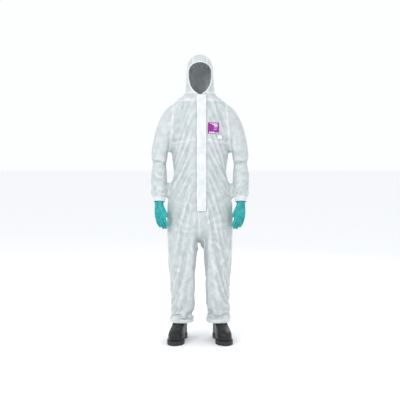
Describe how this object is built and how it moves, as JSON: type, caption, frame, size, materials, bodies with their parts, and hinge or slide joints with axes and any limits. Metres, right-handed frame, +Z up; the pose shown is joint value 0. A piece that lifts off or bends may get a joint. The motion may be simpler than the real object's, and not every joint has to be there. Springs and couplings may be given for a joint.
{
  "type": "chemical protective suit",
  "caption": "Hooded nonwoven protective coverall as worn, with storm-flapped front zip, elasticated hood, cuffs and hems, long gloves and slip-on safety boots.",
  "frame": {"origin": "on the floor, at the middle of the bounding box", "axes": "+Z up to the hood, -Y out of the chest, +X towards the wearer's left"},
  "size_m": [0.6452, 0.3444, 1.856],
  "materials": {
    "coverall_cloth": "matt embossed nonwoven",
    "flap_cloth": "matt nonwoven, doubled",
    "elastic": "gathered over elastic",
    "label": "printed, matt",
    "tag": "printed, matt",
    "adhesive": "tacky film",
    "zip_tape": "woven",
    "zip_coil": "moulded nylon",
    "zip_stop": "moulded nylon",
    "zip_slider": "enamelled",
    "glove": "satin nitrile",
    "boot_upper": "waxed full grain",
    "boot_sole": "matt rubber",
    "boot_footbed": "matt foam",
    "boot_webbing": "ribbed elastic webbing"
  },
  "bodies": {
    "torso": {"left_chest_panel": "coverall_cloth", "right_chest_panel": "coverall_cloth", "left_front_panel": "coverall_cloth", "right_front_panel": "coverall_cloth", "upper_back_panel": "coverall_cloth", "lower_back_panel": "coverall_cloth", "collar": "coverall_cloth", "crotch_gusset": "coverall_cloth", "waist_elastic": "elastic", "chest_label": "label", "inspection_tag": "tag", "size_label": "tag", "zip_tape_left": "zip_tape", "zip_tape_right": "zip_tape", "zip_coil_left": "zip_coil", "zip_coil_right": "zip_coil", "zip_top_stops": "zip_stop", "zip_bottom_stop": "zip_stop", "storm_flap_seam": "flap_cloth", "left_shoulder_sleeve": "coverall_cloth", "left_thigh_top": "coverall_cloth", "right_shoulder_sleeve": "coverall_cloth", "right_thigh_top": "coverall_cloth"},
    "slider": {"zip_slider": "zip_slider", "zip_pull_tab": "zip_slider"},
    "flap": {"storm_flap": "flap_cloth", "flap_adhesive_strip": "adhesive"},
    "hood": {"hood_centre_panel": "coverall_cloth", "hood_left_panel": "coverall_cloth", "hood_right_panel": "coverall_cloth", "face_elastic": "elastic"},
    "left_upper_arm": {"left_upper_sleeve": "coverall_cloth", "left_elbow_sleeve": "coverall_cloth"},
    "left_forearm": {"left_forearm_sleeve": "coverall_cloth", "left_wrist_elastic": "elastic"},
    "left_hand": {"left_glove": "glove"},
    "left_upper_leg": {"left_thigh": "coverall_cloth", "left_knee": "coverall_cloth"},
    "left_lower_leg": {"left_shin": "coverall_cloth", "left_ankle_hem": "elastic"},
    "left_boot": {"left_boot_sole": "boot_sole", "left_boot_upper": "boot_upper", "left_boot_footbed": "boot_footbed", "left_boot_side_gores": "boot_webbing", "left_boot_heel_tab": "boot_webbing"},
    "right_upper_arm": {"right_upper_sleeve": "coverall_cloth", "right_elbow_sleeve": "coverall_cloth"},
    "right_forearm": {"right_forearm_sleeve": "coverall_cloth", "right_wrist_elastic": "elastic"},
    "right_hand": {"right_glove": "glove"},
    "right_upper_leg": {"right_thigh": "coverall_cloth", "right_knee": "coverall_cloth"},
    "right_lower_leg": {"right_shin": "coverall_cloth", "right_ankle_hem": "elastic"},
    "right_boot": {"right_boot_sole": "boot_sole", "right_boot_upper": "boot_upper", "right_boot_footbed": "boot_footbed", "right_boot_side_gores": "boot_webbing", "right_boot_heel_tab": "boot_webbing"}
  },
  "joints": [
    {"name": "zip_run", "type": "slide", "parent": "torso", "child": "slider", "axis": [0, -0.033, -0.9995], "range_m": [0, 0.655]},
    {"name": "flap_open", "type": "hinge", "parent": "torso", "child": "flap", "pos_m": [0.0385, -0.08779, 1.20019], "axis": [0, 0.033, 0.9995], "range_deg": [0, 160]},
    {"name": "hood_back", "type": "hinge", "parent": "torso", "child": "hood", "pos_m": [0, 0.129, 1.606], "axis": [-1, 0, 0], "range_deg": [0, 60]},
    {"name": "left_shoulder", "type": "hinge", "parent": "torso", "child": "left_upper_arm", "pos_m": [0.235, 0.039, 1.4], "axis": [-1, 0, 0], "range_deg": [-30, 100], "deforming": ["left_shoulder_sleeve"]},
    {"name": "left_elbow", "type": "hinge", "parent": "left_upper_arm", "child": "left_forearm", "pos_m": [0.258, 0.039, 1.13], "axis": [-1, 0, 0], "range_deg": [0, 100], "deforming": ["left_elbow_sleeve"]},
    {"name": "left_glove_off", "type": "slide", "parent": "left_forearm", "child": "left_hand", "axis": [0.0292, -0.2241, -0.9741], "range_m": [0, 0.12]},
    {"name": "left_hip", "type": "hinge", "parent": "torso", "child": "left_upper_leg", "pos_m": [0.107, 0.039, 0.85], "axis": [-1, 0, 0], "range_deg": [-15, 90], "deforming": ["left_thigh_top"]},
    {"name": "left_knee_bend", "type": "hinge", "parent": "left_upper_leg", "child": "left_lower_leg", "pos_m": [0.118, 0.039, 0.5], "axis": [1, 0, 0], "range_deg": [0, 85], "deforming": ["left_knee"]},
    {"name": "left_boot_off", "type": "slide", "parent": "left_lower_leg", "child": "left_boot", "axis": [0, 0, -1], "range_m": [0, 0.25]},
    {"name": "right_shoulder", "type": "hinge", "parent": "torso", "child": "right_upper_arm", "pos_m": [-0.235, 0.039, 1.4], "axis": [-1, 0, 0], "range_deg": [-30, 100], "deforming": ["right_shoulder_sleeve"]},
    {"name": "right_elbow", "type": "hinge", "parent": "right_upper_arm", "child": "right_forearm", "pos_m": [-0.258, 0.039, 1.13], "axis": [-1, 0, 0], "range_deg": [0, 100], "deforming": ["right_elbow_sleeve"]},
    {"name": "right_glove_off", "type": "slide", "parent": "right_forearm", "child": "right_hand", "axis": [-0.0292, -0.2241, -0.9741], "range_m": [0, 0.12]},
    {"name": "right_hip", "type": "hinge", "parent": "torso", "child": "right_upper_leg", "pos_m": [-0.107, 0.039, 0.85], "axis": [-1, 0, 0], "range_deg": [-15, 90], "deforming": ["right_thigh_top"]},
    {"name": "right_knee_bend", "type": "hinge", "parent": "right_upper_leg", "child": "right_lower_leg", "pos_m": [-0.118, 0.039, 0.5], "axis": [1, 0, 0], "range_deg": [0, 85], "deforming": ["right_knee"]},
    {"name": "right_boot_off", "type": "slide", "parent": "right_lower_leg", "child": "right_boot", "axis": [0, 0, -1], "range_m": [0, 0.25]}
  ]
}
